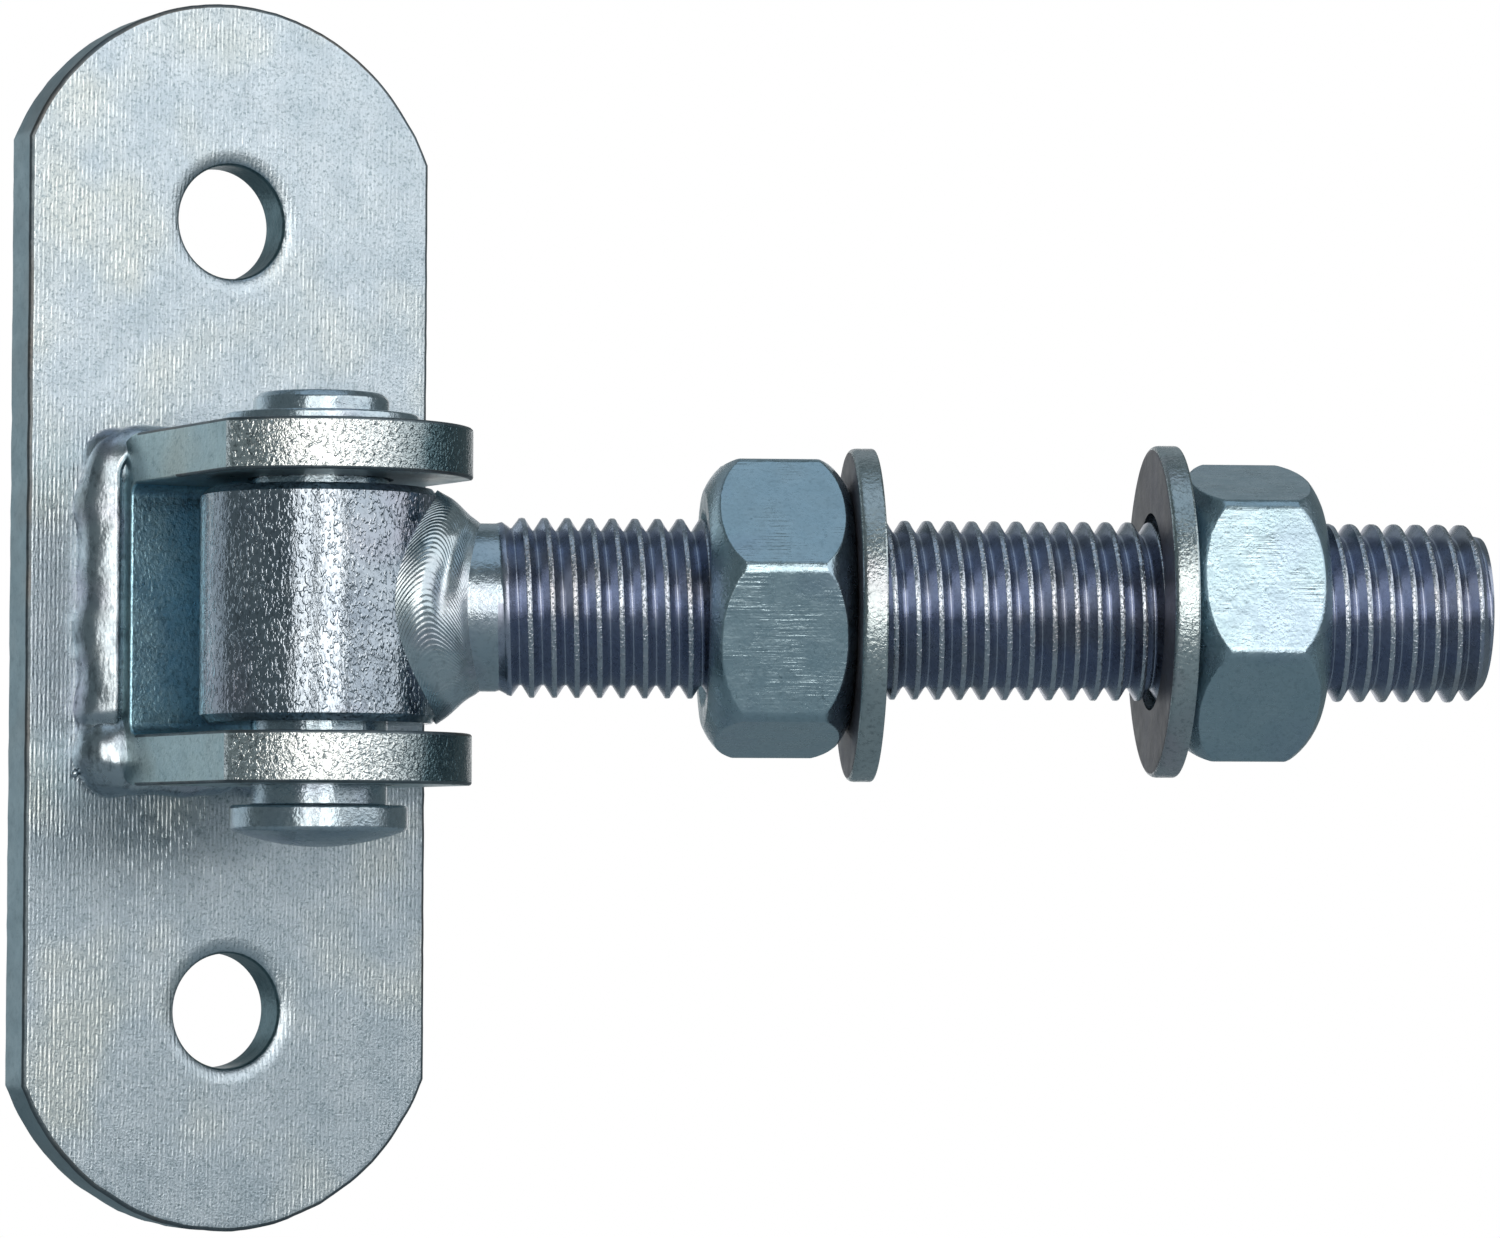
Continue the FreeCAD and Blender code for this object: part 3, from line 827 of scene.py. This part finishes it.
def mill_lines(tree, where, normal, pitch_mm, depth_mm):
    """Fine upright lines of the rolling mill, strong in patches."""
    split = add(tree, "ShaderNodeSeparateXYZ", {"Vector": where})
    wave = waves(tree, split.outputs["X"], pitch_mm * MM)
    patch = spread(tree, grain(tree, where, 14.0, 2.0, 0.5), 0.42, 0.62, 0.45, 1.0)
    gaps = spread(tree, grain(tree, stretched(tree, where, 1.0, 1.0, 0.5), 0.7, 2.0, 0.6), 0.40, 0.60)
    lines = calc(tree, "MULTIPLY", calc(tree, "MULTIPLY", wave, gaps), patch)
    return carved(tree, lines, depth_mm, normal)


def dents(tree, where, normal, size_mm, depth_mm, stretch):
    """Small sharp dents scattered over the face, longer along each axis whose stretch is under one."""
    spots = grain(tree, stretched(tree, where, *stretch), size_mm, 1.5, 0.5)
    return carved(tree, spread(tree, spots, 0.52, 0.66), depth_mm, normal)


def drag_marks(tree, where, normal, width_mm, depth_mm):
    """Straight marks along the rod, as left by the bar drawing and by spanners, strong in patches."""
    lean = math.atan2(ROD_AXIS.y, ROD_AXIS.x)
    level = add(tree, "ShaderNodeVectorRotate", {"Vector": where, "Angle": -lean}, rotation_type="Z_AXIS")
    run = stretched(tree, level.outputs["Vector"], 0.06, 1.0, 1.0)
    patch = spread(tree, grain(tree, where, 5.0, 2.0, 0.5), 0.45, 0.62, 0.1, 1.0)
    lines = calc(tree, "MULTIPLY", grain(tree, run, width_mm, 2.0, 0.6), patch)
    return carved(tree, lines, depth_mm, normal)


def pass_ripples(tree, where, normal, pitch_mm, depth_mm):
    """Close curved ripples that the weld pool leaves, from the collar's own flow coordinates."""
    flow = add(tree, "ShaderNodeUVMap", uv_map="flow")
    split = add(tree, "ShaderNodeSeparateXYZ", {"Vector": flow.outputs["UV"]})
    middle_mm, bow = 3.6, 0.22
    across = calc(tree, "SUBTRACT", split.outputs["Y"], middle_mm)
    curved = calc(tree, "MULTIPLY_ADD", calc(tree, "MULTIPLY", across, across), bow, split.outputs["X"])
    patch = spread(tree, grain(tree, where, 5.0, 1.0, 0.5), 0.40, 0.60, 0.45, 1.0)
    ripples = calc(tree, "MULTIPLY", waves(tree, curved, pitch_mm), patch)
    return carved(tree, ripples, depth_mm, normal)


def zinc(name, tones, rough, grain_mm, depth_mm, blotch_mm=5.0, stretch=(1, 1, 1), pits=0.0, mottle=0.35,
         film=0.6, painted_shade_side=None, extra=None):
    """Bright zinc on steel. Its four tones are the base, soft blotches, a thin film, and the dark of speckle
    and pits. A darker tone of painted shade, for the end that turns from the lamps, can begin and be full at
    two places in mm across the hinge. An extra is a relief function with its sizes."""
    material = bpy.data.materials.new(name)
    tree = plain_tree(material)
    base, cast, tint, dirt = [colour(code) for code in tones]
    where = add(tree, "ShaderNodeTexCoord").outputs["Object"]
    skin = blend(tree, spread(tree, grain(tree, where, blotch_mm, 3.0, 0.6), 0.36, 0.64), base, cast)
    tinted = spread(tree, grain(tree, where, blotch_mm * 2.3, 2.0, 0.5), 0.50, 0.68, 0.0, film)
    skin = blend(tree, tinted, skin, tint)
    run = stretched(tree, where, *stretch)
    speckle = grain(tree, run, grain_mm * 1.4, 3.0, 0.75)
    skin = blend(tree, spread(tree, speckle, 0.50, 0.32, 0.0, mottle), skin, dirt)
    if pits > 0:
        spots = grain(tree, stretched(tree, where, 1.0, 1.0, 0.55), 1.3, 4.0, 0.75)
        skin = blend(tree, spread(tree, spots, 0.665, 0.70, 0.0, pits), skin, dirt)
    # Painted shade: a darker tone across the hinge, for the end of a piece that turns away from the lamps
    if painted_shade_side is not None:
        start_mm, end_mm, tone = painted_shade_side
        across = add(tree, "ShaderNodeSeparateXYZ", {"Vector": where}).outputs["X"]
        ragged = calc(tree, "MULTIPLY_ADD", grain(tree, where, 2.5, 3.0, 0.6), 4 * MM, across)
        skin = blend(tree, spread(tree, ragged, start_mm * MM, end_mm * MM), skin, colour(tone))
    normal = carved(tree, grain(tree, run, grain_mm, 2.0, 0.6), depth_mm)
    if extra is not None:
        relief, *sizes = extra
        normal = relief(tree, where, normal, *sizes)
    gloss = spread(tree, grain(tree, where, 2.4, 3.0, 0.6), 0.3, 0.7, rough - 0.05, rough + 0.07)
    shader = add(tree, "ShaderNodeBsdfPrincipled", {"Base Color": skin, "Metallic": 1.0, "Roughness": gloss,
                                                    "Normal": normal})
    add(tree, "ShaderNodeOutputMaterial", {"Surface": shader.outputs["BSDF"]})
    return material


# Finishes: each is bright electroplated zinc, over steel whose surface was made in its own way

# Rolled plate: fine upright mill lines at their real 0.5 mm, on a cool pale grey
plate_finish = zinc("zinc_plated_rolled_plate", ("#bdc8d1", "#afbcc6", "#c5c9c2", "#7d8d95"), 0.33, 0.25,
                    0.045, blotch_mm=6.0, pits=0.25, mottle=0.9, film=0.5, extra=(mill_lines, 0.52, 0.03))
# Sheared edge of the plate: plain slate grey
edge_finish = zinc("zinc_plated_sheared_edge", ("#869aa3", "#90a3ab", "#8b969b", "#66777f"), 0.38, 0.5, 0.03)
# Broken front corner of the plate: dull and dark
corner_finish = zinc("zinc_plated_dull_corner", ("#56626a", "#6a747a", "#6b6560", "#414a50"), 0.45, 0.5, 0.05)
# Punched holes: torn inside, and dark sea-green as painted shade inside the hole
hole_wall_and_shade_finish = zinc("zinc_plated_punched_hole_and_painted_shade", ("#567078", "#688088", "#5f6e74", "#3d4d54"), 0.36, 0.5, 0.08,
                   pits=0.6)
# Folded flat bar: sea-green grey and fine-grained
bar_finish = zinc("zinc_plated_folded_bar", ("#99b0b8", "#a3b8bd", "#a3aca8", "#5f747b"), 0.32, 0.42, 0.07,
                  blotch_mm=6.0, pits=0.5, mottle=0.5)
# Inside of the fold: the same bar under a blue film, tinted bluer still as a painted reflection of the barrel
web_film_and_reflection_finish = zinc("zinc_plated_blue_film_and_painted_reflection", ("#a0cade", "#a8cfdf", "#9dc0ce", "#587482"), 0.32, 0.42, 0.08,
                  pits=0.6, mottle=0.6)
# Sheared tip of the bar: torn, glittering metal, with painted shade darkening its right end
tip_finish = zinc("zinc_plated_torn_tip", ("#d0d7da", "#d8dee0", "#c4cacc", "#4d5a60"), 0.16, 0.36, 0.10,
                  pits=0.8, mottle=0.8, painted_shade_side=(1.0, 7.6, "#5a7078"),
                  extra=(dents, 0.5, 0.06, (1.0, 1.0, 0.9)))
# Weld metal: smooth frozen beads with darker films
bead_finish = zinc("zinc_plated_weld_bead", ("#a3b0ba", "#b0bbc3", "#9b97aa", "#4c5860"), 0.24, 0.9, 0.05,
                   blotch_mm=4.0, mottle=0.6, stretch=(1.0, 1.0, 0.6))
# Weld collar: the same metal with close curved ripples
collar_finish = zinc("zinc_plated_rippled_weld", ("#adbcc5", "#b8c3ca", "#a29eb0", "#6a7881"), 0.26, 0.7,
                     0.035, blotch_mm=4.0, extra=(pass_ripples, 0.5, 0.024))
# Drawn tube: hammered, glittering skin of short upright dashes
barrel_finish = zinc("zinc_plated_drawn_tube", ("#9ca6b0", "#8d98a4", "#9a96a4", "#3a444d"), 0.10, 0.34, 0.03,
                     blotch_mm=7.0, stretch=(1.0, 1.0, 0.5), mottle=0.5,
                     extra=(dents, 0.42, 0.055, (1.0, 1.0, 0.6)))
# Rolled thread: burnished, with a violet film
thread_finish = zinc("zinc_plated_rolled_thread", ("#969fb4", "#a0a8ba", "#969286", "#5f6577"), 0.26, 0.40,
                     0.012, blotch_mm=4.0, film=0.3)
# Crests of the thread: rubbed and grained by the rolling dies, and lighter as a painted highlight along each
# crest
crest_grain_and_highlight_finish = zinc("zinc_plated_rubbed_thread_crest_and_painted_highlight", ("#a0a9b7", "#aeb6c1", "#9d9b9e", "#5f6575"), 0.22,
                    0.40, 0.03, blotch_mm=4.0, extra=(dents, 0.3, 0.05, (1.0, 1.0, 1.0)))
# Forged nut: teal grey with drag marks along the rod
nut_finish = zinc("zinc_plated_forged_nut", ("#98afbb", "#a0b5c0", "#95a7b9", "#566c76"), 0.27, 0.40, 0.04,
                  pits=0.5, mottle=0.25, extra=(drag_marks, 0.35, 0.09))
# Punched washer: the same zinc with a torn, glittering rim
washer_finish = zinc("zinc_plated_punched_washer", ("#a1aeb3", "#abb6ba", "#a59ea8", "#626f75"), 0.24, 0.45,
                     0.10, pits=0.3, mottle=0.5)
# Side of the washers that faces the hinge: under a brown and violet film, and darker as painted shade
film_and_shade_finish = zinc("zinc_plated_brown_film_and_painted_shade", ("#77747e", "#7d7a80", "#6f6a6c", "#545058"), 0.42, 0.45, 0.05,
                   pits=0.3)
# Turned pin: bright and nearly smooth
pin_finish = zinc("zinc_plated_turned_pin", ("#a0b1bd", "#aab7c0", "#9fa6b8", "#5d6f7a"), 0.22, 0.50, 0.05,
                  blotch_mm=4.0)


def round_a_hole(face):
    """True for the plate's faces that belong to its bolt holes."""
    return from_hole(face.center) < 0.2 * MM and abs(face.normal.y) < 0.9


def on_plate_corner(face):
    """True for the rounded front corners of the plate's outline."""
    return -0.98 < face.normal.y < -0.2 and from_hole(face.center) > HOLE_ROLLOVER


def on_ear_corner(face):
    """True for the rounded corners of the bracket's ears."""
    upright_corner = 0.905 < abs(face.normal.x) < 0.985
    return face.center.y < PIN.y + 10 * MM and (0.2 < abs(face.normal.z) < 0.98 or upright_corner)


def on_thread_crest(face):
    """True for the flat tops of the thread's turns."""
    from_pin = face.center - PIN
    radius = (from_pin - ROD_AXIS * from_pin.dot(ROD_AXIS)).length
    return radius > THREAD_CREST - 0.06 * MM


def on_ear_tip(face):
    """True for the sheared ends of the bracket's ears."""
    return face.normal.y < -0.3 and face.center.y < PIN.y - EAR_TIP_RADIUS * 0.4


def inside_fold(face):
    """True for the front of the bracket's web, between its ears."""
    return face.normal.y < -0.3 and face.center.y > PIN.y and abs(face.center.z) < EAR_INNER


def on_shank(face):
    """True for the rod's plain end next to the hinge."""
    return (face.center - PIN).dot(ROD_AXIS) < SHANK_END + 0.3 * MM


plate_piece = finish_piece("plate_sheared", mounting_plate(), plate_finish, "plate", "zinc_plate",
                           "mounting_plate")
finish_faces(plate_piece, edge_finish, lambda face: abs(face.normal.y) < 0.2)
finish_faces(plate_piece, corner_finish, on_plate_corner)
# Painted shade inside the bolt holes
finish_faces(plate_piece, hole_wall_and_shade_finish, round_a_hole)
bracket_piece = finish_piece("bracket_folded", clevis_bracket(), bar_finish, "plate", "zinc_plate",
                             "clevis_bracket")
finish_faces(bracket_piece, tip_finish, on_ear_tip)
# The web gets its blue film and a painted reflection of the barrel
finish_faces(bracket_piece, web_film_and_reflection_finish, inside_fold)
finish_faces(bracket_piece, corner_finish, on_ear_corner)
finish_piece("bracket_bead_left", bracket_weld(-1), bead_finish, "plate", "zinc_weld", "bracket_weld_left")
finish_piece("bracket_bead_right", bracket_weld(1), bead_finish, "plate", "zinc_weld", "bracket_weld_right")
finish_piece("pin_turned", hinge_pin(), pin_finish, "pin", "zinc_plate", "hinge_pin")
finish_piece("pin_ring", pin_retaining_ring(), pin_finish, "ring", "zinc_plate", "pin_retaining_ring")
finish_piece("barrel_sleeve", eye_barrel(), barrel_finish, "eye_bolt", "zinc_plate", "eye_barrel")
finish_piece("eye_collar", eye_weld(), collar_finish, "eye_bolt", "zinc_weld", "eye_weld")
rod_piece = finish_piece("rod_threaded", threaded_rod(), thread_finish, "eye_bolt", "zinc_rod",
                         "threaded_rod")
# Painted highlight along the thread's crests
finish_faces(rod_piece, crest_grain_and_highlight_finish, on_thread_crest)
finish_faces(rod_piece, pin_finish, on_shank)
finish_piece("nut_inner", hex_nut("inner_nut", INNER_NUT_HEIGHT, INNER_TURN), nut_finish, "inner_nut",
             "zinc_nut", "inner_nut")
finish_piece("nut_outer", hex_nut("outer_nut", OUTER_NUT_HEIGHT, OUTER_TURN), nut_finish, "outer_nut",
             "zinc_nut", "outer_nut")
for piece, washer in (("washer_inner", "inner_washer"), ("washer_outer", "outer_washer")):
    washer_piece = finish_piece(piece, flat_washer(washer), washer_finish, washer, "zinc_nut", washer)
    # Painted shade on the side of each washer that faces the hinge
    finish_faces(washer_piece, film_and_shade_finish, lambda face: face.normal.dot(ROD_AXIS) < -0.9)


# Studio: places and sizes in metres, the camera's focal length in pixels of the photograph's width

FLOOR_HEIGHT = -0.18
FLOOR_SIZE = 0.6
BACKDROP_DISTANCE = 2.33
BACKDROP_SIZE = 0.42
CAMERA_PLACE = Vector((-0.26218, -0.56695, -0.02962))
CAMERA_AZIMUTH = math.radians(-30.481)
CAMERA_ELEVATION = math.radians(-2.718)
CAMERA_ROLL = math.radians(0.148)
SENSOR_WIDTH = 36.0
FOCAL_PIXELS = 5427.9
PHOTO_PIXELS = 1500.0


def bearing(azimuth, elevation):
    """Unit vector towards an azimuth, counted from the front, and an elevation."""
    level = math.cos(elevation)
    return Vector((math.sin(azimuth) * level, -math.cos(azimuth) * level, math.sin(elevation)))


def studio_floor():
    """Plain pale floor well below the hinge."""
    mesh = bmesh.new()
    bmesh.ops.create_grid(mesh, x_segments=1, y_segments=1, size=FLOOR_SIZE,
                          matrix=Matrix.Translation((0, 0, FLOOR_HEIGHT)))
    floor = object_from("floor", mesh)
    material = bpy.data.materials.new("pale_studio_floor")
    tree = plain_tree(material)
    paint = add(tree, "ShaderNodeBsdfDiffuse", {"Color": colour("#b0bbc0")})
    add(tree, "ShaderNodeOutputMaterial", {"Surface": paint.outputs["BSDF"]})
    floor.data.materials.append(material)


def studio_backdrop():
    """Sheet of white paper far behind the hinge, white to the camera and in the metal's reflections."""
    mesh = bmesh.new()
    facing = bearing(CAMERA_AZIMUTH, CAMERA_ELEVATION)
    turn = facing.to_track_quat("Z", "Y").to_matrix().to_4x4()
    place = Matrix.Translation(CAMERA_PLACE - facing * BACKDROP_DISTANCE) @ turn
    bmesh.ops.create_grid(mesh, x_segments=1, y_segments=1, size=BACKDROP_SIZE, matrix=place)
    backdrop = object_from("backdrop", mesh)
    material = bpy.data.materials.new("white_studio_paper")
    tree = plain_tree(material)
    paint = add(tree, "ShaderNodeBsdfDiffuse", {"Color": colour("#f4f4f4")})
    glow = add(tree, "ShaderNodeEmission", {"Color": colour("#ffffff"), "Strength": 1.0})
    path = add(tree, "ShaderNodeLightPath")
    mirrored = calc(tree, "MAXIMUM", path.outputs["Is Camera Ray"], path.outputs["Is Glossy Ray"])
    seen = calc(tree, "MAXIMUM", mirrored, path.outputs["Is Transmission Ray"])
    mix = add(tree, "ShaderNodeMixShader", {0: seen, 1: paint.outputs["BSDF"], 2: glow.outputs["Emission"]})
    add(tree, "ShaderNodeOutputMaterial", {"Surface": mix.outputs["Shader"]})
    backdrop.data.materials.append(material)


def studio_world():
    """Dim room of one cool grey."""
    scene.world = bpy.data.worlds.new("studio")
    tree = plain_tree(scene.world)
    room = add(tree, "ShaderNodeBackground", {"Color": (0.80, 0.97, 1.0, 1), "Strength": 0.20})
    add(tree, "ShaderNodeOutputWorld", {"Surface": room.outputs["Background"]})


def softbox(name, azimuth, elevation, distance, width, height, power, tint):
    """Rectangular lamp that faces the pin from an azimuth and elevation in degrees, at a distance in metres.
    Its sides are in metres and its power in watts."""
    back = bearing(math.radians(azimuth), math.radians(elevation))
    light = bpy.data.lights.new(name, "AREA")
    light.shape = "RECTANGLE"
    light.size = width
    light.size_y = height
    light.energy = power
    light.color = colour(tint)[:3]
    lamp = bpy.data.objects.new(name, light)
    lamp.location = PIN + back * distance
    lamp.rotation_euler = (-back).to_track_quat("-Z", "Y").to_euler()
    scene.collection.objects.link(lamp)


studio_world()
studio_floor()
studio_backdrop()
softbox("key_left", -41, 9, 1.2, 0.36, 0.9, 3.2, "#fff7ee")
softbox("key_right", -15, 9, 1.2, 0.49, 0.86, 4.7, "#fff7ee")
softbox("fill_right", 33, 23, 1.3, 1.66, 1.1, 8.4, "#fffdfb")
softbox("back_high", 162, 38, 1.3, 1.2, 0.7, 0.6, "#eef6ff")
softbox("top", -20, 80, 1.2, 1.0, 1.0, 1.9, "#dceeff")
softbox("rim_left", -150, 5, 1.4, 1.0, 1.2, 2.2, "#f4fbff")


def photo_camera():
    """Camera at the photograph's place and angle, with its slight roll."""
    facing = bearing(CAMERA_AZIMUTH, CAMERA_ELEVATION)
    turn = (-facing).to_track_quat("-Z", "Y").to_matrix() @ Matrix.Rotation(CAMERA_ROLL, 3, "Z")
    camera = bpy.data.objects.new("camera", bpy.data.cameras.new("camera"))
    camera.location = CAMERA_PLACE
    camera.rotation_euler = turn.to_euler()
    camera.data.sensor_width = SENSOR_WIDTH
    camera.data.lens = SENSOR_WIDTH * FOCAL_PIXELS / PHOTO_PIXELS
    camera.data.clip_start = 0.01
    scene.collection.objects.link(camera)
    scene.camera = camera


photo_camera()
scene.view_settings.view_transform = "Standard"
